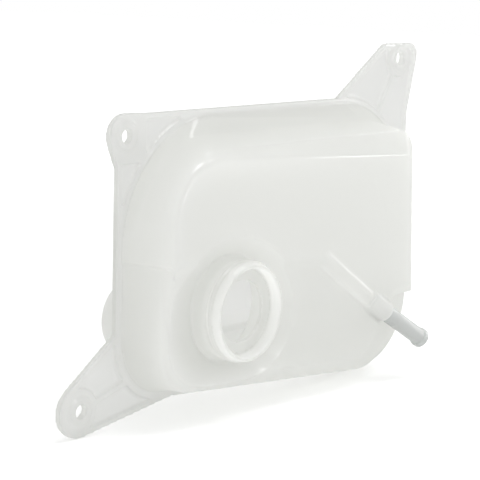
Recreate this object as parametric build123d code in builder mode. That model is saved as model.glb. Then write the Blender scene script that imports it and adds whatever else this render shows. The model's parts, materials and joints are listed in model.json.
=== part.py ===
"""Coolant expansion tank: a blown, milky plastic bottle with a flat flange, three screw lugs,
a stepped front, an open filler neck in a flared recess, and a hose pipe pressed into its socket.

Millimetres. The origin is the centre of the upper left screw hole on the rear face of the flange.
X runs right along the flange, Z up, and the front of the tank looks towards -Y.
A depth is measured from the rear face of the flange, positive towards the front.
"""

import os
from math import cos, dist, radians, sin

from build123d import *

# Walls
WALL = 3.0
SLOPE_ALLOWANCE = 0.2
FLANGE_T = 4.0
WEB_T = 2.0
EDGE_R = 4.0
OVERRUN = 1.0

# Root of the body on the flange, seen from the upper left screw hole
BODY_LEFT = -3.3
BODY_TOP = 9.0
BODY_WIDTH = 269.0
BODY_HEIGHT = 155.0
BOTTOM_FALL = 0.10
BODY_RIGHT = BODY_LEFT + BODY_WIDTH
BODY_BOTTOM = BODY_TOP - BODY_HEIGHT

# Rim of the flange, its pockets and the ribs that part them
RIM = 2.8
POCKET_RIM = 3.2
POCKET_MIN_AREA = 40.0
RIB_W = 3.4

# Upper left lug
HOLE_D = 8.0
BOSS_D = 16.0
BOSS_H = 1.0
PAD_D = 25.0
UPPER_LEFT_LUG_R = 12.4
UPPER_LEFT_LUG_FOOT = 17.5
UPPER_LEFT_PAD = 31.0

# Upper right lug, from the upper right corner of the body
UPPER_RIGHT_HOLE_D = 9.0
UPPER_RIGHT_HOLE_IN = 9.1
UPPER_RIGHT_HOLE_RISE = 26.6
UPPER_RIGHT_LUG_R = 8.0
UPPER_RIGHT_LUG_HALF = 21.0
UPPER_RIGHT_LUG_TOP = 9.8
UPPER_RIGHT_LUG_FOOT = 74.7
UPPER_RIGHT_LUG_SIDE = 9.0
UPPER_RIGHT_RIB_IN = 30.7
UPPER_RIGHT_RIB_DROP = 9.0

# Lower left lug, from the lower left corner of the body
LOWER_LEFT_HOLE_OUT = 29.2
LOWER_LEFT_HOLE_DROP = 1.6
LOWER_LEFT_LUG_R = 15.2
LOWER_LEFT_LUG_SIDE = 36.0
LOWER_LEFT_LUG_BOTTOM = 43.3
LOWER_LEFT_RIB_IN = 18.3
LOWER_LEFT_RIB_RISE = 11.0

# Tiers of the front above the flange. Each section stands in from the root at its left, top, right
# and bottom, and its corner radii run clockwise from the upper left
ROOT_R = (75.0, 70.0, 50.0, 35.0)
SHOULDER_RISE = 12.0
SHOULDER_IN = (1.8, 10.2, 6.0, 2.4)
SHOULDER_R = (50.0, 60.0, 45.0, 33.0)
BROW_RISE = 28.0
BROW_IN = (5.3, 17.0, 22.0, 7.0)
BROW_R = (42.0, 14.0, 42.0, 28.0)
FACE_RISE = 34.0
FACE_IN = (8.8, 18.4, 30.0, 14.5)
FACE_R = (35.0, 8.0, 36.0, 22.0)
FACE_TOP_FALL = 14.0
FACE_RIGHT_LEAN = 9.5

# Lower panel of the front, set back from the upper one by a step that slopes over its run
STEP_BACK = 2.6
STEP_SIDE = 2.0
STEP_RUN = 6.0
LOWER_SHOULDER_IN = (1.8, 10.2, 6.0, 1.4)
LOWER_BROW_IN = (5.3, 17.0, 41.3, 2.4)
LOWER_BROW_R = (42.0, 30.0, 34.0, 30.0)
LOWER_FACE_IN = (8.8, 18.4, 61.3, 10.5)
LOWER_FACE_R = (35.0, 30.0, 28.0, 24.0)

# Line of the step: heights above the lower left corner, and places from the right side
STEP_LEFT_RISE = 76.5
STEP_KNEE_IN = 115.7
STEP_KNEE_RISE = 63.5
STEP_HEEL_IN = 62.7
STEP_HEEL_RISE = 31.0
STEP_TOE_IN = 48.7
STEP_RIGHT_RISE = 36.0

# Filler neck in its recess, from the lower left corner of the body. The recess flares from a round
# floor to an oval mouth, whose long axis falls to the right, and a flatter scoop that starts a little
# above the floor opens it towards the lower left
NECK_IN = 66.5
NECK_RISE = 44.7
NECK_D = 56.8
NECK_WALL = 3.0
NECK_HEIGHT = 19.5
NECK_FOOT = 2.4
NECK_FOOT_RISE = 5.5
LIP_EASE = 0.9
SEAT_BELOW_RIM = 7.5
SEAT_T = 3.0
SEAT_D = 36.0
RECESS_DEPTH = 14.0
RECESS_FLOOR_D = 63.0
RECESS_LENGTH = 108.0
RECESS_WIDTH = 83.0
RECESS_FALL = 24.0
SCOOP_RISE = 1.0
SCOOP_LENGTH = 120.0
SCOOP_WIDTH = 92.0
SCOOP_LEFT = 16.0
SCOOP_DOWN = 10.0

# Hose pipe and its socket, from the lower right corner of the body
PIPE_D = 11.0
PIPE_BORE = 7.6
PIPE_FREE = 41.0
PIPE_SEAT = 16.0
PIPE_BEAD_D = 12.8
PIPE_BEAD_L = 5.0
PIPE_BEAD_EASE = 0.8
PIPE_FIT = 0.05
PIPE_SLOPE = 33.8
PIPE_TILT = 10.0
PIPE_ROOT_IN = 61.2
PIPE_ROOT_RISE = 22.4
PIPE_ROOT_PROUD = 1.0
SOCKET_WALL = 1.9
RIDGE_LENGTH = 78.0
RIDGE_PROUD = 4.0

# Rear of the tank: a shallow tray, and a sump from the lower left corner of the body
REAR_INSET = 13.0
REAR_DEPTH = 14.0
REAR_DRAFT = 6.0
REAR_EASE = 3.5
SUMP_IN = 34.3
SUMP_RISE = 37.0
SUMP_LENGTH = 130.0
SUMP_R = 25.0
SUMP_DEPTH = 28.0
SUMP_DRAFT = 3.0
SUMP_EASE = 5.5

# Places that follow from the sizes
UPPER_LEFT_HOLE = (0.0, 0.0)
UPPER_RIGHT_HOLE = (BODY_RIGHT - UPPER_RIGHT_HOLE_IN, BODY_TOP + UPPER_RIGHT_HOLE_RISE)
LOWER_LEFT_HOLE = (BODY_LEFT - LOWER_LEFT_HOLE_OUT, BODY_BOTTOM - LOWER_LEFT_HOLE_DROP)
NECK_X = BODY_LEFT + NECK_IN
NECK_Z = BODY_BOTTOM + NECK_RISE
FACE_DEPTH = FLANGE_T + FACE_RISE
LOWER_FACE_DEPTH = FACE_DEPTH - STEP_BACK
NECK_FLOOR = FACE_DEPTH - RECESS_DEPTH
NECK_RIM = NECK_FLOOR + NECK_HEIGHT
RECESS_OVAL = (RECESS_LENGTH, RECESS_WIDTH, RECESS_FALL)
SCOOP_OVAL = (SCOOP_LENGTH, SCOOP_WIDTH, 0.0)
SOCKET_R = PIPE_D / 2 + SOCKET_WALL
UPPER_TIERS = (
    (SHOULDER_IN, SHOULDER_R, 0.0, 0.0),
    (BROW_IN, BROW_R, 0.0, FACE_RIGHT_LEAN),
    (FACE_IN, FACE_R, FACE_TOP_FALL, FACE_RIGHT_LEAN),
)
LOWER_TIERS = (
    (LOWER_SHOULDER_IN, SHOULDER_R, 0.0, 0.0),
    (LOWER_BROW_IN, LOWER_BROW_R, 0.0, 0.0),
    (LOWER_FACE_IN, LOWER_FACE_R, FACE_TOP_FALL, 0.0),
)


def front_plane(depth):
    """Sketch plane parallel to the flange, with X to the right and Z up."""
    return Plane.XZ.offset(depth)


def ring(stand_in, radii, shrink=0.0, top_fall=0.0, right_lean=0.0):
    """Corners and corner radii of a section of the body, drawn in by a shrink.

    The bottom edge falls to the right, the top edge may fall and the right edge may lean.
    Radii are limited by the sides that they share.
    """
    left = BODY_LEFT + stand_in[0] + shrink
    top = BODY_TOP - stand_in[1] - shrink
    right = BODY_RIGHT - stand_in[2] - shrink
    bottom = BODY_BOTTOM + stand_in[3] + shrink
    corners = (
        (left, top),
        (right - right_lean, top - top_fall),
        (right, bottom - BOTTOM_FALL * (right - left)),
        (left, bottom),
    )
    drawn = [max(radius - shrink, EDGE_R) for radius in radii]
    room = [dist(corners[i], corners[i - 1]) / (drawn[i] + drawn[i - 1] + EDGE_R) for i in range(4)]
    return corners, tuple(radius * min(1.0, *room) for radius in drawn)


def root_ring(shrink):
    """Section where the body leaves the flange."""
    return ring((0.0, 0.0, 0.0, 0.0), ROOT_R, shrink)


def section(depth, outline):
    """One filled section of the body at its depth."""
    corners, radii = outline
    with BuildSketch(front_plane(depth)) as sketch:
        with BuildLine():
            FilletPolyline(*corners, radius=radii, close=True)
        make_face()
    return sketch.sketch


def panel(tiers, set_back, set_in, shrink, thickness, start):
    """Front of the bottle in tiers from the root to the face, one wall thickness further in."""
    depths = (
        FLANGE_T + SHOULDER_RISE - thickness / 2,
        FLANGE_T + BROW_RISE - set_back - thickness,
        FLANGE_T + FACE_RISE - set_back - thickness,
    )
    with BuildPart() as form:
        add(section(start, root_ring(shrink + set_in / 2)))
        for depth, (stand_in, radii, top_fall, right_lean) in zip(depths, tiers):
            add(section(depth, ring(stand_in, radii, shrink + set_in, top_fall, right_lean)))
        loft(ruled=True)
    return form.part


def step_outline(drop):
    """Outline of all that lies above the line of the step, with that line lowered by a drop."""
    far = BODY_WIDTH
    base = BODY_BOTTOM - drop
    with BuildSketch() as outline:
        with BuildLine():
            FilletPolyline(
                (BODY_LEFT - far, base + STEP_LEFT_RISE),
                (NECK_X, base + STEP_LEFT_RISE),
                (BODY_RIGHT - STEP_KNEE_IN, base + STEP_KNEE_RISE),
                (BODY_RIGHT - STEP_HEEL_IN, base + STEP_HEEL_RISE),
                (BODY_RIGHT - STEP_TOE_IN, base + STEP_RIGHT_RISE),
                (BODY_RIGHT + far, base + STEP_RIGHT_RISE),
                (BODY_RIGHT + far, BODY_TOP + far),
                (BODY_LEFT - far, BODY_TOP + far),
                radius=EDGE_R,
                close=True,
            )
        make_face()
    return outline.sketch


def step_region():
    """All that lies above the step, which slopes from the upper panel down to the lower one."""
    with BuildPart() as region:
        with BuildSketch(Plane.XZ):
            add(step_outline(0.0))
        extrude(amount=2 * FACE_DEPTH, both=True)
        for depth, drop in ((LOWER_FACE_DEPTH, STEP_RUN), (FACE_DEPTH, 0.0)):
            with BuildSketch(front_plane(depth)):
                add(step_outline(drop))
        loft(ruled=True)
    return region.part


def step_hollow():
    """All that lies above the line of the step, one wall further in."""
    with BuildPart() as region:
        with BuildSketch(Plane.XZ):
            add(step_outline(0.0))
            offset(amount=-WALL, mode=Mode.REPLACE)
        extrude(amount=2 * FACE_DEPTH, both=True)
    return region.part


def flare(depth, radius, rise, reach, oval, left, down):
    """Cut round the neck that opens from a round, a rise above a depth, to an oval at the face and beyond.

    The oval is a length, a width and a fall of its long axis, and stands to the left and down of the neck.
    """
    length, width, fall = oval
    with BuildPart() as cut:
        for along in (0.0, reach - rise):
            share = along / (RECESS_DEPTH - rise)
            with BuildSketch(front_plane(depth + rise + along)):
                with Locations((NECK_X - left * share, NECK_Z - down * share)):
                    Ellipse(
                        radius + (length - RECESS_FLOOR_D) / 2 * share,
                        radius + (width - RECESS_FLOOR_D) / 2 * share,
                        rotation=-fall,
                    )
        loft(ruled=True)
    return cut.part


def recess(depth, radius, reach):
    """Recess round the neck with its scoop, from its round floor at a depth outwards over a reach."""
    with BuildPart() as room:
        add(flare(depth, radius, 0.0, reach, RECESS_OVAL, 0.0, 0.0))
        add(flare(depth, radius, SCOOP_RISE, reach, SCOOP_OVAL, SCOOP_LEFT, SCOOP_DOWN))
    return room.part


def lug_outline(rounds, foot):
    """Hull of the rounds at the end of a lug and the line where it grows out of the flange."""
    with BuildSketch() as outline:
        for centre, radius in rounds:
            with Locations(centre):
                Circle(radius)
        with BuildLine():
            Line(*foot)
        make_hull()
    return outline.sketch


def rear_tray(shrink, start, end):
    """Shallow rear of the tank between two depths, drawn in by a shrink."""
    with BuildPart() as tray:
        add(section(start, root_ring(REAR_INSET + shrink)))
        add(section(end, root_ring(REAR_INSET + REAR_DRAFT + shrink)))
        loft(ruled=True)
        chamfer(tray.edges().group_by(Axis.Y)[-1], REAR_EASE)
    return tray.part


def sump(shrink, start, end):
    """Sump at the rear between two depths, drawn in by a shrink, with its far edge eased."""
    with BuildPart() as bulge:
        for depth, radius in ((start, SUMP_R), (end, SUMP_R - SUMP_DRAFT)):
            with BuildSketch(front_plane(depth)):
                with Locations((BODY_LEFT + SUMP_IN + SUMP_LENGTH / 2, BODY_BOTTOM + SUMP_RISE)):
                    SlotCenterToCenter(SUMP_LENGTH, 2 * (radius - shrink))
        loft(ruled=True)
        chamfer(bulge.edges().group_by(Axis.Y)[-1], SUMP_EASE)
    return bulge.part


# Axis of the hose pipe: its root at the mouth of the socket, and the way it points
pipe_way = Vector(
    cos(radians(PIPE_SLOPE)) * cos(radians(PIPE_TILT)),
    -sin(radians(PIPE_TILT)),
    -sin(radians(PIPE_SLOPE)) * cos(radians(PIPE_TILT)),
)
pipe_root = Vector(
    BODY_RIGHT - PIPE_ROOT_IN,
    -(FACE_DEPTH - PIPE_ROOT_PROUD),
    BODY_BOTTOM + PIPE_ROOT_RISE,
)

# Axis of the ridge that leads to the socket: along the lower panel, in line with the pipe from the front
ridge_way = Vector(cos(radians(PIPE_SLOPE)), 0.0, -sin(radians(PIPE_SLOPE)))
ridge_end = Vector(pipe_root.X, SOCKET_R - RIDGE_PROUD - LOWER_FACE_DEPTH, pipe_root.Z)
ridge_start = ridge_end - ridge_way * RIDGE_LENGTH


def pipe_plane(along):
    """Sketch plane across the hose pipe, at a distance past the mouth of the socket."""
    return Plane(pipe_root + pipe_way * along, z_dir=pipe_way)


# Front of the bottle: the lower panel, and the upper panel that stands proud of it
with BuildPart() as lower_form:
    add(panel(LOWER_TIERS, STEP_BACK, STEP_SIDE, 0.0, 0.0, FLANGE_T))
    fillet(lower_form.edges().group_by(Axis.Y)[0], EDGE_R)

with BuildPart() as upper_form:
    add(panel(UPPER_TIERS, 0.0, 0.0, 0.0, 0.0, FLANGE_T))
    fillet(upper_form.edges().group_by(Axis.Y)[0], EDGE_R)
    add(step_region(), mode=Mode.INTERSECT)

# Hollow of the bottle, one wall inside the outer form, and drawn in a little more on its slopes
skin = WALL + SLOPE_ALLOWANCE
with BuildPart() as upper_hollow:
    add(panel(UPPER_TIERS, 0.0, 0.0, skin, WALL, FLANGE_T - OVERRUN))
    add(step_hollow(), mode=Mode.INTERSECT)

with BuildPart() as hollow:
    add(panel(LOWER_TIERS, STEP_BACK, STEP_SIDE, skin, WALL, FLANGE_T - OVERRUN))
    add(upper_hollow.part)
    add(
        recess(NECK_FLOOR - WALL, (RECESS_FLOOR_D + WALL) / 2, RECESS_DEPTH + WALL + OVERRUN),
        mode=Mode.SUBTRACT,
    )
    add(rear_tray(WALL, FLANGE_T + OVERRUN, WALL - REAR_DEPTH))
    add(sump(WALL, FLANGE_T + OVERRUN, WALL - SUMP_DEPTH))

# Plan of the flange: the rim of the body with a lug at each screw
plate_corners = root_ring(-RIM)[0]
plate_left = BODY_LEFT - RIM
plate_top = BODY_TOP + RIM
upper_right_row = UPPER_RIGHT_HOLE[1] + UPPER_RIGHT_LUG_TOP - UPPER_RIGHT_LUG_R
upper_right_end = UPPER_RIGHT_LUG_HALF - UPPER_RIGHT_LUG_R
lower_left_foot = BODY_BOTTOM - RIM - BOTTOM_FALL * (LOWER_LEFT_LUG_BOTTOM + RIM)

upper_left_lug = lug_outline(
    [(UPPER_LEFT_HOLE, UPPER_LEFT_LUG_R)],
    ((plate_left, -UPPER_LEFT_LUG_FOOT), (UPPER_LEFT_LUG_FOOT, plate_top)),
)
upper_right_lug = lug_outline(
    [
        ((UPPER_RIGHT_HOLE[0] - upper_right_end, upper_right_row), UPPER_RIGHT_LUG_R),
        ((UPPER_RIGHT_HOLE[0] + upper_right_end, upper_right_row), UPPER_RIGHT_LUG_R),
    ],
    (
        (BODY_RIGHT - UPPER_RIGHT_LUG_FOOT, plate_top),
        (BODY_RIGHT + RIM, BODY_TOP - UPPER_RIGHT_LUG_SIDE),
    ),
)
lower_left_lug = lug_outline(
    [(LOWER_LEFT_HOLE, LOWER_LEFT_LUG_R)],
    (
        (plate_left, BODY_BOTTOM + LOWER_LEFT_LUG_SIDE),
        (BODY_LEFT + LOWER_LEFT_LUG_BOTTOM, lower_left_foot),
    ),
)

with BuildSketch() as flange_plan:
    with BuildLine():
        FilletPolyline(
            *plate_corners,
            radius=(UPPER_LEFT_LUG_R - RIM, UPPER_RIGHT_LUG_R, ROOT_R[2] + RIM, ROOT_R[3] + RIM),
            close=True,
        )
    make_face()
    add(upper_left_lug)
    add(upper_right_lug)
    add(lower_left_lug)

# Pockets: what the rim, the foot of the body, the pads round the holes and the ribs leave open
body_foot = root_ring(-POCKET_RIM)
rib_lines = (
    (UPPER_RIGHT_HOLE, (BODY_RIGHT - UPPER_RIGHT_RIB_IN, BODY_TOP - UPPER_RIGHT_RIB_DROP)),
    (LOWER_LEFT_HOLE, (BODY_LEFT + LOWER_LEFT_RIB_IN, BODY_BOTTOM + LOWER_LEFT_RIB_RISE)),
)
with BuildSketch() as pocket_plan:
    add(flange_plan.sketch_local)
    offset(amount=-POCKET_RIM, mode=Mode.REPLACE)
    with BuildLine():
        FilletPolyline(*body_foot[0], radius=body_foot[1], close=True)
    make_face(mode=Mode.SUBTRACT)
    with Locations(UPPER_LEFT_HOLE):
        RectangleRounded(UPPER_LEFT_PAD, UPPER_LEFT_PAD, EDGE_R, mode=Mode.SUBTRACT)
    with Locations(UPPER_RIGHT_HOLE, LOWER_LEFT_HOLE):
        Circle(PAD_D / 2, mode=Mode.SUBTRACT)
    for rib_line in rib_lines:
        with BuildLine():
            Line(*rib_line)
        trace(line_width=RIB_W, mode=Mode.SUBTRACT)

pockets = pocket_plan.faces().filter_by(lambda face: face.area > POCKET_MIN_AREA)

# Filler neck: a turned ring with a spreading foot, and inside it the seat for a cap's seal
neck_r = NECK_D / 2
throat_r = neck_r - NECK_WALL
foot_r = neck_r + NECK_FOOT
seat_top = NECK_RIM - SEAT_BELOW_RIM
neck_section = (
    (throat_r, NECK_FLOOR - WALL),
    (foot_r, NECK_FLOOR - WALL),
    (foot_r, NECK_FLOOR),
    (neck_r, NECK_FLOOR + NECK_FOOT_RISE),
    (neck_r, NECK_RIM),
    (throat_r, NECK_RIM),
    (throat_r, seat_top),
    (SEAT_D / 2, seat_top),
    (SEAT_D / 2, seat_top - SEAT_T),
    (throat_r, seat_top - SEAT_T),
)
with BuildPart() as neck:
    with BuildSketch(Plane((NECK_X, 0, NECK_Z), x_dir=(1, 0, 0), z_dir=(0, 0, 1))) as neck_profile:
        with BuildLine():
            Polyline(*[(radius, -depth) for radius, depth in neck_section], close=True)
        make_face()
        chamfer(neck_profile.vertices().group_by(Axis.Y)[0], LIP_EASE)
    revolve(axis=Axis((NECK_X, 0, NECK_Z), (0, 1, 0)))

with BuildPart() as tank:
    # Flange with its pockets, and a boss at each hole
    with BuildSketch(Plane.XZ):
        add(flange_plan.sketch_local)
    extrude(amount=FLANGE_T)
    with BuildSketch(front_plane(WEB_T)):
        add(pockets)
    extrude(amount=FLANGE_T, mode=Mode.SUBTRACT)
    with BuildSketch(front_plane(FLANGE_T)):
        with Locations(UPPER_LEFT_HOLE, UPPER_RIGHT_HOLE, LOWER_LEFT_HOLE):
            Circle(BOSS_D / 2)
    extrude(amount=BOSS_H)
    # Front, with the ridge that leads to the hose pipe and the recess round the neck
    add(lower_form.part)
    add(upper_form.part)
    with BuildSketch(Plane(ridge_start, z_dir=ridge_way)):
        Circle(SOCKET_R)
    extrude(amount=RIDGE_LENGTH)
    with Locations(ridge_start):
        Sphere(SOCKET_R)
    add(recess(NECK_FLOOR, RECESS_FLOOR_D / 2, 2 * RECESS_DEPTH), mode=Mode.SUBTRACT)
    # Rear, and the hollow through both
    add(rear_tray(0.0, FLANGE_T / 2, -REAR_DEPTH))
    add(sump(0.0, FLANGE_T / 2, -SUMP_DEPTH))
    add(hollow.part, mode=Mode.SUBTRACT)
    # Neck over its opening in the floor of the recess
    with BuildSketch(front_plane(NECK_FLOOR - WALL - OVERRUN)):
        with Locations((NECK_X, NECK_Z)):
            Circle(throat_r)
    extrude(amount=WALL + 2 * OVERRUN, mode=Mode.SUBTRACT)
    add(neck.part)
    # Socket of the hose pipe: its body, the seat, and the channel on into the hollow
    with BuildSketch(pipe_plane(-PIPE_SEAT - WALL)):
        Circle(SOCKET_R)
    extrude(amount=PIPE_SEAT + WALL)
    with BuildSketch(pipe_plane(-PIPE_SEAT)):
        Circle(PIPE_D / 2 + PIPE_FIT)
    extrude(amount=PIPE_SEAT + PIPE_FREE, mode=Mode.SUBTRACT)
    with BuildSketch(pipe_plane(-RIDGE_LENGTH)):
        Circle(PIPE_BORE / 2)
    extrude(amount=RIDGE_LENGTH, mode=Mode.SUBTRACT)
    # Screw holes
    with BuildSketch(Plane.XZ):
        with Locations(UPPER_LEFT_HOLE, LOWER_LEFT_HOLE):
            Circle(HOLE_D / 2)
        with Locations(UPPER_RIGHT_HOLE):
            Circle(UPPER_RIGHT_HOLE_D / 2)
    extrude(amount=FLANGE_T + BOSS_H, mode=Mode.SUBTRACT)

# Hose pipe: a straight tube with a bead at its tip, eased at both of its edges
with BuildPart() as bead:
    with BuildSketch(pipe_plane(PIPE_FREE - PIPE_BEAD_L)):
        Circle(PIPE_BEAD_D / 2)
    extrude(amount=PIPE_BEAD_L)
    chamfer(bead.edges().filter_by(GeomType.CIRCLE), PIPE_BEAD_EASE)

with BuildPart() as hose_pipe:
    with BuildSketch(pipe_plane(-PIPE_SEAT)):
        Circle(PIPE_D / 2)
    extrude(amount=PIPE_SEAT + PIPE_FREE)
    add(bead.part)
    with BuildSketch(pipe_plane(-PIPE_SEAT)):
        Circle(PIPE_BORE / 2)
    extrude(amount=PIPE_SEAT + PIPE_FREE, mode=Mode.SUBTRACT)

os.makedirs("parts", exist_ok=True)
tank.part.label = "tank"
hose_pipe.part.label = "hose_pipe"
export_step(tank.part, "parts/tank.step")
export_step(hose_pipe.part, "parts/hose_pipe.step")
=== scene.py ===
"""Looks of the coolant expansion tank: a milky blown bottle with its neck thread and hose pipe.

Metres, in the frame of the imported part: X right along the flange, Z up, the front towards -Y.
"""

import json
import logging
import math
from dataclasses import dataclass
from enum import Enum

import bmesh
import bpy
from mathutils import Matrix, Vector
from mathutils.bvhtree import BVHTree


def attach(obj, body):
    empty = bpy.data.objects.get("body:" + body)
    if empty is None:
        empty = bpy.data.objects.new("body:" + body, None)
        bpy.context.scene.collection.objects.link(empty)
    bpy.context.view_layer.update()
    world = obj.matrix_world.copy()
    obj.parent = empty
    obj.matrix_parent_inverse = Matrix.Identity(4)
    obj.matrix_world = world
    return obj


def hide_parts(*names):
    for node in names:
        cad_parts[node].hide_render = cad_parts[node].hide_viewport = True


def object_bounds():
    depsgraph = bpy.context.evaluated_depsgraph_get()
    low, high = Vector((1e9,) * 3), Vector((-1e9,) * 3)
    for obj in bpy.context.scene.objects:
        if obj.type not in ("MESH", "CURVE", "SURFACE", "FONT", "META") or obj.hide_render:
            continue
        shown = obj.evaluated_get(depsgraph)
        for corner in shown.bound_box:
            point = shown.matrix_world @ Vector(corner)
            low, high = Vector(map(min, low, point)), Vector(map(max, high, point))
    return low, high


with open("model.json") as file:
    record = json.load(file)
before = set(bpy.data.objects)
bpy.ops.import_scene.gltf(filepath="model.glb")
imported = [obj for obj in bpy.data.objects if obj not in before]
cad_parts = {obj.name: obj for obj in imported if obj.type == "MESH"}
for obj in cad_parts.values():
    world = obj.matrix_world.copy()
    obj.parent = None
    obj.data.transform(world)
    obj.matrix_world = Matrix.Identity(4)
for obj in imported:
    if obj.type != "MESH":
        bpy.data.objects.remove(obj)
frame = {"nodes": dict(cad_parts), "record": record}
CAD_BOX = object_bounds()

LOG = logging.getLogger("coolant_tank")
MM = 0.001
BODY = "root"

Color = tuple[float, float, float, float]
Place = tuple[float, float, float]
WHITE: Color = (1.0, 1.0, 1.0, 1.0)

# Attribute of each skin's points: 0 for the colour of thin plastic, 1 for that of thick plastic.
WALL_DEPTH = "wall_depth"

# Refractive index of the moulded plastics.
PLASTIC_IOR = 1.49

# Colour sockets of the Mix node, whose other sockets have the same names.
MIX_COLOR_A, MIX_COLOR_B, MIX_COLOR_RESULT = 6, 7, 2


class Slot(Enum):
    """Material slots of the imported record."""

    TANK = "milky_plastic"
    PIPE = "pipe_plastic"


@dataclass(frozen=True)
class MouldedPlastic:
    """Finish of a moulded plastic surface.

    Attributes:
        name: Name of the material.
        thin: Colour of the plastic where it is thinnest.
        thick: Colour where it is thick.
        cloud: How much a clouded patch darkens it.
        roughness: Gloss of the skin, from 0 for polished to 1 for dull.
        roughness_spread: How far the gloss wanders over the skin.
        cloud_size: Width of a clouded patch.
        grain_size: Width of a grain of the mould's texture.
        grain_depth: Height of that texture.
        polish: Strength of the polished film that the mould leaves on the skin.
        polish_roughness: Gloss of that film.
        polish_ior: Index of that film, which makes up for the shine that passes takes away.
        passes: Share of the light that each face of the wall lets through.
    """

    name: str
    thin: Color
    thick: Color
    cloud: float
    roughness: float
    roughness_spread: float
    cloud_size: float
    grain_size: float
    grain_depth: float
    polish: float
    polish_roughness: float
    polish_ior: float
    passes: float


MILKY = MouldedPlastic(
    name="milky_polypropylene",
    thin=(0.985, 0.987, 0.978, 1.0),
    thick=(0.85, 0.855, 0.835, 1.0),
    cloud=0.03,
    roughness=0.40,
    roughness_spread=0.10,
    cloud_size=45 * MM,
    grain_size=1.1 * MM,
    grain_depth=0.05 * MM,
    polish=1.0,
    polish_roughness=0.12,
    polish_ior=4.0,
    passes=0.88,
)
PIPE_GREY = MouldedPlastic(
    name="grey_pipe_plastic",
    thin=(0.95, 0.955, 0.945, 1.0),
    thick=(0.69, 0.71, 0.695, 1.0),
    cloud=0.08,
    roughness=0.28,
    roughness_spread=0.08,
    cloud_size=14 * MM,
    grain_size=0.6 * MM,
    grain_depth=0.02 * MM,
    polish=1.0,
    polish_roughness=0.12,
    polish_ior=1.7,
    passes=0.30,
)


def set_inputs(node: bpy.types.Node, values: dict[str, float | Color]) -> None:
    """Set constants on the inputs of a shader node.

    Args:
        node: Node whose inputs are set.
        values: Constants by the names of their sockets.
    """
    for name, value in values.items():
        node.inputs[name].default_value = value


def add_math(
    tree: bpy.types.NodeTree, operation: str, *terms: bpy.types.NodeSocket | float
) -> bpy.types.NodeSocket:
    """Add a math node.

    Args:
        tree: Node tree that gains the node.
        operation: What the node does with its terms.
        *terms: Sockets to link, or constants to set, in the order of the node's inputs.

    Returns:
        The socket with the result.
    """
    node = tree.nodes.new("ShaderNodeMath")
    node.operation = operation
    for socket, term in zip(node.inputs, terms):
        if isinstance(term, bpy.types.NodeSocket):
            tree.links.new(term, socket)
        else:
            socket.default_value = term
    return node.outputs[0]


class MouldedSkin:
    """Shader node group for the uneven skin of moulded plastic, shared by every finish."""

    NAME = "moulded_skin"
    SOCKETS = (
        ("INPUT", "Color", "NodeSocketColor"),
        ("INPUT", "Cloud", "NodeSocketFloat"),
        ("INPUT", "Roughness", "NodeSocketFloat"),
        ("INPUT", "Roughness Spread", "NodeSocketFloat"),
        ("INPUT", "Cloud Scale", "NodeSocketFloat"),
        ("INPUT", "Grain Scale", "NodeSocketFloat"),
        ("OUTPUT", "Color", "NodeSocketColor"),
        ("OUTPUT", "Roughness", "NodeSocketFloat"),
        ("OUTPUT", "Height", "NodeSocketFloat"),
    )
    CLOUD_DETAIL = 3.0
    CLOUD_MIDDLE = 0.5
    GRAIN_DETAIL = 2.0

    def __init__(self) -> None:
        """Build the group with its sockets and nodes."""
        self.tree = bpy.data.node_groups.new(self.NAME, "ShaderNodeTree")
        for in_out, name, kind in self.SOCKETS:
            self.tree.interface.new_socket(name=name, in_out=in_out, socket_type=kind)
        self._add_nodes()

    def _noise(self, scale: bpy.types.NodeSocket, detail: float) -> bpy.types.NodeSocket:
        """Add a noise over the object's own coordinates.

        Args:
            scale: Socket that gives the number of patches in a metre.
            detail: Number of finer layers in the noise.

        Returns:
            The socket with the noise's value.
        """
        nodes, links = self.tree.nodes, self.tree.links
        place = nodes.new("ShaderNodeTexCoord")
        noise = nodes.new("ShaderNodeTexNoise")
        set_inputs(noise, {"Detail": detail})
        links.new(place.outputs["Object"], noise.inputs["Vector"])
        links.new(scale, noise.inputs["Scale"])
        return noise.outputs["Fac"]

    def _add_nodes(self) -> None:
        """Add the clouding of the colour and gloss, and the grain of the mould."""
        nodes, links = self.tree.nodes, self.tree.links
        given = nodes.new("NodeGroupInput").outputs
        made = nodes.new("NodeGroupOutput").inputs
        cloud = self._noise(given["Cloud Scale"], self.CLOUD_DETAIL)
        grain = self._noise(given["Grain Scale"], self.GRAIN_DETAIL)

        dark = add_math(self.tree, "MULTIPLY", cloud, given["Cloud"])
        left = add_math(self.tree, "SUBTRACT", 1.0, dark)
        shaded = nodes.new("ShaderNodeVectorMath")
        shaded.operation = "SCALE"
        links.new(given["Color"], shaded.inputs[0])
        links.new(left, shaded.inputs["Scale"])
        links.new(shaded.outputs["Vector"], made["Color"])

        centred = add_math(self.tree, "SUBTRACT", cloud, self.CLOUD_MIDDLE)
        spread, middle = given["Roughness Spread"], given["Roughness"]
        gloss = add_math(self.tree, "MULTIPLY_ADD", centred, spread, middle)
        links.new(gloss, made["Roughness"])
        links.new(grain, made["Height"])


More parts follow.
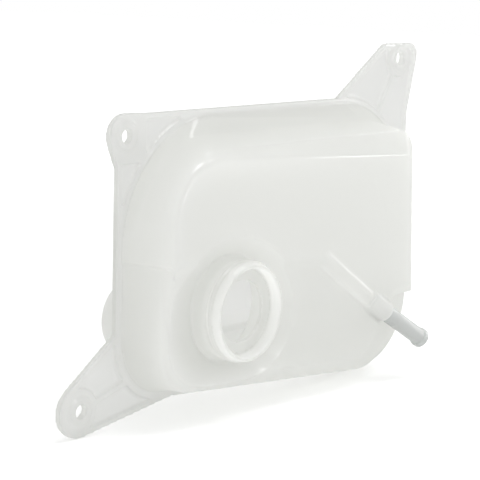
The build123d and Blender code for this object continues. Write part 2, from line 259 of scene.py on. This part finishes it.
class Finisher:
    """Makes the materials, all with the same moulded skin."""

    def __init__(self) -> None:
        """Build the shared skin once."""
        self.skin = MouldedSkin()

    def material(self, finish: MouldedPlastic) -> bpy.types.Material:
        """Make the material of one finish.

        Args:
            finish: Colours, gloss and depth of the plastic.

        Returns:
            The new material.
        """
        material = bpy.data.materials.new(finish.name)
        material.use_nodes = True
        nodes, links = material.node_tree.nodes, material.node_tree.links
        surface = nodes["Principled BSDF"]
        polish = {
            "Coat Weight": finish.polish,
            "Coat Roughness": finish.polish_roughness,
            "Coat IOR": finish.polish_ior,
        }
        set_inputs(surface, {"IOR": PLASTIC_IOR, **polish})
        through = nodes.new("ShaderNodeBsdfTranslucent")
        wall = nodes.new("ShaderNodeMixShader")
        set_inputs(wall, {"Fac": finish.passes})
        links.new(surface.outputs["BSDF"], wall.inputs[1])
        links.new(through.outputs["BSDF"], wall.inputs[2])
        links.new(wall.outputs["Shader"], nodes["Material Output"].inputs["Surface"])

        tone = self._tone(material.node_tree, finish)
        links.new(tone, through.inputs["Color"])
        skin = self._skin(material.node_tree, finish)
        links.new(tone, skin.inputs["Color"])
        links.new(skin.outputs["Color"], surface.inputs["Base Color"])
        links.new(skin.outputs["Roughness"], surface.inputs["Roughness"])

        bump = nodes.new("ShaderNodeBump")
        set_inputs(bump, {"Distance": finish.grain_depth})
        links.new(skin.outputs["Height"], bump.inputs["Height"])
        links.new(bump.outputs["Normal"], surface.inputs["Normal"])
        return material

    def _tone(self, tree: bpy.types.NodeTree, finish: MouldedPlastic) -> bpy.types.NodeSocket:
        """Add the colour that goes from thin to thick with the depth of the wall.

        Args:
            tree: Node tree of the material.
            finish: Colours of the plastic.

        Returns:
            The socket with the colour.
        """
        depth = tree.nodes.new("ShaderNodeAttribute")
        depth.attribute_name = WALL_DEPTH
        tone = tree.nodes.new("ShaderNodeMix")
        tone.data_type = "RGBA"
        tone.inputs[MIX_COLOR_A].default_value = finish.thin
        tone.inputs[MIX_COLOR_B].default_value = finish.thick
        tree.links.new(depth.outputs["Fac"], tone.inputs["Factor"])
        return tone.outputs[MIX_COLOR_RESULT]

    def _skin(self, tree: bpy.types.NodeTree, finish: MouldedPlastic) -> bpy.types.Node:
        """Add the shared skin with the values of one finish.

        Args:
            tree: Node tree of the material.
            finish: Clouds, gloss and grain of the plastic.

        Returns:
            The group's node.
        """
        skin = tree.nodes.new("ShaderNodeGroup")
        skin.node_tree = self.skin.tree
        values = {
            "Cloud": finish.cloud,
            "Roughness": finish.roughness,
            "Roughness Spread": finish.roughness_spread,
            "Cloud Scale": 1 / finish.cloud_size,
            "Grain Scale": 1 / finish.grain_size,
        }
        set_inputs(skin, values)
        return skin


@dataclass(frozen=True)
class RoundMount:
    """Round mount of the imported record, in metres.

    Attributes:
        middle: Its middle.
        out: Direction in which it looks.
        radius: Its radius.
        length: Its length.
    """

    middle: Vector
    out: Vector
    radius: float
    length: float

    @classmethod
    def find(cls, name: str) -> "RoundMount":
        """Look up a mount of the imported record.

        Args:
            name: Name of the mount.

        Returns:
            The mount.
        """
        entry = next(entry for entry in frame["record"]["mounts"] if entry["name"] == name)
        middle, out = Vector(entry["pos_m"]), Vector(entry["axis"]).normalized()
        dims = entry["dims"]
        return cls(middle, out, radius=dims["r_mm"] * MM, length=dims["length_mm"] * MM)


def clamp(share: float) -> float:
    """Keep a share between 0 and 1."""
    return min(1.0, max(0.0, share))


def add_object(name: str, data: bpy.types.ID) -> bpy.types.Object:
    """Make an object and link it to the scene.

    Args:
        name: Name of the object.
        data: Its mesh, lamp or camera.

    Returns:
        The new object.
    """
    made = bpy.data.objects.new(name, data)
    bpy.context.scene.collection.objects.link(made)
    return made


def dress(piece: bpy.types.Object, material: bpy.types.Material) -> None:
    """Give a piece one material all over.

    Args:
        piece: Object to dress.
        material: Material that takes its only slot.
    """
    piece.data.materials.clear()
    piece.data.materials.append(material)


def store_depths(data: bpy.types.Mesh, depths: list[float]) -> None:
    """Store the depth of the plastic, which sets its colour, at each point of a mesh.

    Args:
        data: Mesh that gains the attribute.
        depths: Depth at each point, from 0 to 1 for fully thick.
    """
    wall = data.attributes.new(WALL_DEPTH, "FLOAT", "POINT")
    wall.data.foreach_set("value", depths)


def settle(piece: bpy.types.Object) -> None:
    """Put the result of a piece's modifiers in place of its mesh.

    Args:
        piece: Object whose modifiers are used up.
    """
    graph = bpy.context.evaluated_depsgraph_get()
    data = bpy.data.meshes.new_from_object(piece.evaluated_get(graph))
    piece.modifiers.clear()
    piece.data = data


def soften(piece: bpy.types.Object, cell: float, passes: int, triangles: int) -> None:
    """Fuse a piece in small cells, smooth it and thin out its triangles.

    Args:
        piece: Object whose mesh is replaced.
        cell: Width of the cells.
        passes: Number of smoothing passes over the edges.
        triangles: Most triangles that the piece keeps.
    """
    fuse = piece.modifiers.new("fuse", "REMESH")
    fuse.mode = "VOXEL"
    fuse.voxel_size = cell
    smooth = piece.modifiers.new("smooth", "SMOOTH")
    smooth.iterations = passes
    settle(piece)
    full = sum(len(face.vertices) - 2 for face in piece.data.polygons)
    thin = piece.modifiers.new("thin", "DECIMATE")
    thin.ratio = min(1.0, triangles / full)
    settle(piece)
    piece.data.shade_smooth()


@dataclass
class NeckThread:
    """Coarse screw thread on the outside of the filler neck, moulded with the tank.

    Attributes:
        mount: Mount of the record that gives the plain wall of the neck.
        pitch: Rise of the thread in one turn.
        height: How far the crest stands off the neck.
        root_width: Width of the thread at the neck.
        crest_width: Width of the thread at its crest.
        turns: Number of turns.
        sink: How far the thread's foot reaches into the neck's wall.
        run_out: Share of a turn over which each end sinks into the neck.
        segments: Steps in one turn.
    """

    mount: str = "filler_neck"
    pitch: float = 5.5 * MM
    height: float = 1.3 * MM
    root_width: float = 3.0 * MM
    crest_width: float = 1.4 * MM
    turns: float = 1.75
    sink: float = 0.4 * MM
    run_out: float = 0.12
    segments: int = 96

    def _stand_off(self, turn: float) -> float:
        """Find the height of the crest, which runs out at the thread's ends.

        Args:
            turn: Place along the thread, in turns from its start.

        Returns:
            The height of the crest off the neck.
        """
        to_end = min(turn, self.turns - turn)
        share = clamp(to_end / self.run_out)
        return self.height * math.sin(share * math.pi / 2)

    def add_to(self, mesh: bmesh.types.BMesh) -> None:
        """Sweep the thread's section along its helix.

        Args:
            mesh: Mesh of the tank, which gains the thread.
        """
        neck = RoundMount.find(self.mount)
        side = neck.out.orthogonal().normalized()
        rise = neck.out.cross(side)
        start = -self.turns * self.pitch / 2
        root, crest = self.root_width / 2, self.crest_width / 2
        foot = neck.radius - self.sink

        steps = round(self.turns * self.segments)
        rings = []
        for step in range(steps + 1):
            turn = self.turns * step / steps
            angle = 2 * math.pi * turn
            spoke = side * math.cos(angle) + rise * math.sin(angle)
            centre = neck.middle + neck.out * (start + self.pitch * turn)
            top = neck.radius + self._stand_off(turn)
            section = (
                (foot, -root),
                (neck.radius, -root),
                (top, -crest),
                (top, crest),
                (neck.radius, root),
                (foot, root),
            )
            places = (centre + spoke * off + neck.out * along for off, along in section)
            rings.append([mesh.verts.new(place) for place in places])
        made = [mesh.faces.new(rings[0][::-1]), mesh.faces.new(rings[-1])]
        for ring, nxt in zip(rings, rings[1:]):
            for i in range(len(ring)):
                j = (i + 1) % len(ring)
                made.append(mesh.faces.new((ring[i], ring[j], nxt[j], nxt[i])))
        bmesh.ops.recalc_face_normals(mesh, faces=made)
        LOG.info("neck thread swept in %d steps", steps)


@dataclass
class Bottle:
    """The blown tank with its neck thread, fused into one skin whose edges are all a little soft.

    Attributes:
        node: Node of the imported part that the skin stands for.
        cell: Width of the cells in which the shape is fused.
        softening: Number of smoothing passes over the edges.
        triangles: Most triangles that the skin keeps.
        thick: Depth of plastic that counts as fully thick.
        blown: Depth of the blown wall, from 0 to 1, at the flange and where it is thinnest.
        drawn: Distance from the flange's plane at which the blown wall is thinnest.
        flange: How far the solid flange and its ribs reach in front of the rear face.
        neck: Mount of the record that gives the solid filler neck.
        neck_share: How much of its depth the neck shows where it is thickest, beside the flange.
        fade: Distance over which the flange and the neck thin out into the blown wall.
        skip: Depth below a point at which its plastic begins to be measured.
    """

    node: str = "tank"
    cell: float = 0.8 * MM
    softening: int = 3
    triangles: int = 180_000
    thick: float = 12.0 * MM
    blown: tuple[float, float] = (0.26, 0.03)
    drawn: float = 45.0 * MM
    flange: float = 4.5 * MM
    neck: str = "filler_neck"
    neck_share: float = 0.75
    fade: float = 4.0 * MM
    skip: float = 0.1 * MM

    def build(self, thread: NeckThread, milky: bpy.types.Material) -> bpy.types.Object:
        """Fuse the tank and its thread, soften the edges and dress the skin.

        Args:
            thread: Thread on the filler neck.
            milky: Material of the tank.

        Returns:
            The skin, riding on the part in place of the node.
        """
        mesh = bmesh.new()
        mesh.from_mesh(frame["nodes"][self.node].data)
        thread.add_to(mesh)
        data = bpy.data.meshes.new("tank_skin")
        mesh.to_mesh(data)
        mesh.free()
        skin = add_object("tank_skin", data)
        soften(skin, self.cell, self.softening, self.triangles)
        self._measure_walls(skin.data)
        dress(skin, milky)
        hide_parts(self.node)
        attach(skin, BODY)
        LOG.info("tank_skin made with %d triangles", len(skin.data.polygons))
        return skin

    def _measure_walls(self, data: bpy.types.Mesh) -> None:
        """Store at each point how thick the plastic below it is, from 0 to 1 for fully thick.

        Args:
            data: Mesh of the skin, which gains the attribute.
        """
        points = [point.co for point in data.vertices]
        solid = BVHTree.FromPolygons(points, [face.vertices for face in data.polygons])
        mount = RoundMount.find(self.neck)
        near, far = self.blown
        depths = []
        for point in data.vertices:
            depth = self._depth_below(point, solid)
            flange, neck = self._solid_shares(point.co, mount)
            blown = near + (far - near) * clamp(abs(point.co.y) / self.drawn)
            shown = max(flange, self.neck_share * neck * depth)
            depths.append(blown + (depth - blown) * shown)
        store_depths(data, depths)

    def _depth_below(self, point: bpy.types.MeshVertex, solid: BVHTree) -> float:
        """Measure the plastic straight below a point of the skin.

        Args:
            point: Point of the skin.
            solid: All faces of the skin.

        Returns:
            The depth, from 0 to 1 for fully thick.
        """
        inwards = -point.normal
        start = point.co + inwards * self.skip
        found = solid.ray_cast(start, inwards, self.thick - self.skip)[3]
        return 1.0 if found is None else (self.skip + found) / self.thick

    def _solid_shares(self, place: Vector, mount: RoundMount) -> tuple[float, float]:
        """Tell how far a place belongs to the solid flange and to the solid neck.

        Args:
            place: Place on the skin.
            mount: Mount that gives the neck.

        Returns:
            The shares of the flange and of the neck, from 0 in the blown wall to 1.
        """
        across, along, up = place - mount.middle
        off_flange = max(-place.y - self.flange, place.y)
        off_neck = max(math.hypot(across, up) - mount.radius, along - mount.length / 2)
        return 1 - clamp(off_flange / self.fade), 1 - clamp(off_neck / self.fade)


@dataclass
class HosePipe:
    """The straight hose pipe, whose root sits in the tank's socket.

    Attributes:
        node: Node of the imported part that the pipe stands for.
        mount: Mount of the record that gives the bead and the pipe's direction.
        free: Length of the pipe from its socket to the middle of the bead.
        turn: Length over which the milky root turns into the greyer pipe.
        cell: Width of the cells in which its edges are eased.
        softening: Number of smoothing passes over the edges.
        triangles: Most triangles that the pipe keeps.
    """

    node: str = "hose_pipe"
    mount: str = "hose_pipe_bead"
    free: float = 38.5 * MM
    turn: float = 1.5 * MM
    cell: float = 0.35 * MM
    softening: int = 3
    triangles: int = 40_000

    def build(self, grey: bpy.types.Material) -> bpy.types.Object:
        """Ease the pipe's edges and dress it in its greyer plastic.

        Args:
            grey: Material of the pipe.

        Returns:
            The pipe, riding on the part in place of the node.
        """
        pipe = add_object("pipe_skin", frame["nodes"][self.node].data.copy())
        soften(pipe, self.cell, self.softening, self.triangles)
        self._mark_root(pipe.data)
        dress(pipe, grey)
        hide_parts(self.node)
        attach(pipe, BODY)
        LOG.info("%s dressed in %s", pipe.name, grey.name)
        return pipe

    def _mark_root(self, data: bpy.types.Mesh) -> None:
        """Store at each point 0 in the milky root and 1 on the free pipe.

        Args:
            data: Mesh of the pipe, which gains the attribute.
        """
        bead = RoundMount.find(self.mount)
        along = ((point.co - bead.middle).dot(bead.out) for point in data.vertices)
        store_depths(data, [clamp((past + self.free) / self.turn) for past in along])


@dataclass(frozen=True)
class SoftLamp:
    """Rectangular lamp that looks at the middle of the tank.

    Attributes:
        name: Name of the lamp.
        place: Where it hangs.
        size: Width and height of its face.
        power: Its power in watts.
    """

    name: str
    place: Place
    size: tuple[float, float]
    power: float

    def hang(self) -> None:
        """Make the lamp and turn it to the tank."""
        data = bpy.data.lights.new(self.name, "AREA")
        data.shape = "RECTANGLE"
        data.size, data.size_y = self.size
        data.energy = self.power
        lamp = add_object(self.name, data)
        middle = (CAD_BOX[0] + CAD_BOX[1]) / 2
        lamp.location = self.place
        lamp.rotation_euler = (middle - Vector(self.place)).to_track_quat("-Z", "Y").to_euler()
        LOG.info("%s hung", self.name)


LAMPS = (
    SoftLamp("top_light", place=(0.16, -0.12, 1.11), size=(0.40, 0.40), power=2.8),
    SoftLamp("edge_light", place=(0.65, -0.45, 0.95), size=(0.16, 0.30), power=1.5),
    SoftLamp("back_light", place=(0.705, 0.267, 0.943), size=(0.12, 0.14), power=0.2),
    SoftLamp("right_light", place=(1.20, -0.20, 0.63), size=(0.10, 0.16), power=0.8),
    SoftLamp("side_light", place=(3.42, -2.26, 0.19), size=(0.30, 0.24), power=3.5),
    SoftLamp("rim_light", place=(1.40, -0.28, 0.03), size=(0.08, 0.40), power=0.8),
    SoftLamp("front_light", place=(0.35, -1.25, 0.30), size=(0.14, 0.60), power=2.0),
)


@dataclass
class Studio:
    """Pale floor, white surround and soft light.

    Attributes:
        lamps: Lamps that light the tank.
        floor_point: Place on the floor, below the lower left lug.
        floor_fall: Angle by which the floor falls to the right, from lug to lower right corner.
        floor_size: Width of the floor.
        floor_color: Colour of the floor.
        floor_lift: Glow that keeps the floor white to the camera and in gloss, and lights nothing.
        far_lift: The same further off, where the lamps hardly reach.
        near: Distance from the lug at which the floor's lift begins to grow.
        far: Distance at which it is full.
        surround: Strength of the light from all round.
        backdrop: Strength of the surround to the camera and in gloss.
    """

    lamps: tuple[SoftLamp, ...] = LAMPS
    floor_point: Place = (-32.5 * MM, 0.0, -162.9 * MM)
    floor_fall: float = math.radians(1.9)
    floor_size: float = 40.0
    floor_color: Color = (0.93, 0.93, 0.93, 1.0)
    floor_lift: float = 0.22
    far_lift: float = 0.60
    near: float = 0.45
    far: float = 1.2
    surround: float = 0.75
    backdrop: float = 1.0

    def build(self) -> None:
        """Make the floor, the surround and the lamps."""
        self._floor()
        self._world()
        for lamp in self.lamps:
            lamp.hang()

    def _shown(self, tree: bpy.types.NodeTree) -> bpy.types.NodeSocket:
        """Add the test for rays that see the background directly, or in gloss or clear plastic.

        Args:
            tree: Node tree of the floor or the world.

        Returns:
            The socket that is 1 for such rays.
        """
        rays = tree.nodes.new("ShaderNodeLightPath").outputs
        direct = add_math(tree, "MAXIMUM", rays["Is Camera Ray"], rays["Is Glossy Ray"])
        clear = add_math(tree, "SUBTRACT", rays["Is Transmission Ray"], rays["Is Diffuse Ray"])
        return add_math(tree, "MAXIMUM", direct, clear)

    def _floor(self) -> None:
        """Lay the floor under the tank."""
        mesh = bmesh.new()
        bmesh.ops.create_grid(mesh, x_segments=1, y_segments=1, size=self.floor_size / 2)
        data = bpy.data.meshes.new("floor")
        mesh.to_mesh(data)
        mesh.free()
        floor = add_object("floor", data)
        fall = Matrix.Rotation(self.floor_fall, 4, "Y")
        floor.matrix_world = Matrix.Translation(self.floor_point) @ fall
        dress(floor, self._floor_material())
        LOG.info("floor laid")

    def _floor_material(self) -> bpy.types.Material:
        """Make the dull floor, which glows more and more away from the tank.

        Returns:
            The new material.
        """
        material = bpy.data.materials.new("pale_floor")
        material.use_nodes = True
        tree = material.node_tree
        shader = tree.nodes["Principled BSDF"]
        dull = {"Roughness": 1.0, "Specular IOR Level": 0.0}
        set_inputs(shader, {"Base Color": self.floor_color, "Emission Color": WHITE, **dull})
        place = tree.nodes.new("ShaderNodeTexCoord")
        away = tree.nodes.new("ShaderNodeVectorMath")
        away.operation = "LENGTH"
        tree.links.new(place.outputs["Object"], away.inputs[0])
        level = tree.nodes.new("ShaderNodeMapRange")
        set_inputs(level, {"From Min": self.near, "From Max": self.far})
        set_inputs(level, {"To Min": self.floor_lift, "To Max": self.far_lift})
        tree.links.new(away.outputs["Value"], level.inputs["Value"])
        lift = add_math(tree, "MULTIPLY", self._shown(tree), level.outputs["Result"])
        tree.links.new(lift, shader.inputs["Emission Strength"])
        return material

    def _world(self) -> None:
        """Light the tank from all round, and show white behind it."""
        world = bpy.data.worlds.new("surround")
        bpy.context.scene.world = world
        world.use_nodes = True
        tree = world.node_tree
        background = tree.nodes["Background"]
        set_inputs(background, {"Color": WHITE})
        level = tree.nodes.new("ShaderNodeMapRange")
        set_inputs(level, {"To Min": self.surround, "To Max": self.backdrop})
        tree.links.new(self._shown(tree), level.inputs["Value"])
        tree.links.new(level.outputs["Result"], background.inputs["Strength"])
        LOG.info("surround set")


@dataclass
class PhotoCamera:
    """Camera that stands where the photograph was taken from.

    Attributes:
        place: Where the camera stands.
        right: Its right hand side.
        up: Its upper side.
        lens: Focal length in millimetres, on a sensor of the given width.
        sensor: Width of the sensor in millimetres.
    """

    place: Place = (-576.4 * MM, -573.2 * MM, 89.7 * MM)
    right: Place = (0.6488, -0.7604, 0.0272)
    up: Place = (0.1170, 0.1350, 0.9839)
    lens: float = 112.5
    sensor: float = 36.0

    def build(self) -> None:
        """Make the camera and give it to the scene."""
        data = bpy.data.cameras.new("photo_camera")
        data.lens = self.lens
        data.sensor_width = self.sensor
        data.sensor_fit = "HORIZONTAL"
        camera = add_object("photo_camera", data)
        right = Vector(self.right).normalized()
        back = right.cross(Vector(self.up)).normalized()
        turn = Matrix((right, back.cross(right), back)).transposed()
        camera.matrix_world = Matrix.Translation(self.place) @ turn.to_4x4()
        bpy.context.scene.camera = camera
        LOG.info("camera placed")


def main() -> None:
    """Dress the tank, then set the studio and the camera."""
    logging.basicConfig(level=logging.INFO, format="%(name)s: %(message)s")
    bpy.context.scene.view_settings.view_transform = "Standard"
    finisher = Finisher()
    Bottle().build(NeckThread(), finisher.material(MILKY))
    HosePipe().build(finisher.material(PIPE_GREY))
    Studio().build()
    PhotoCamera().build()


if __name__ == "__main__":
    main()
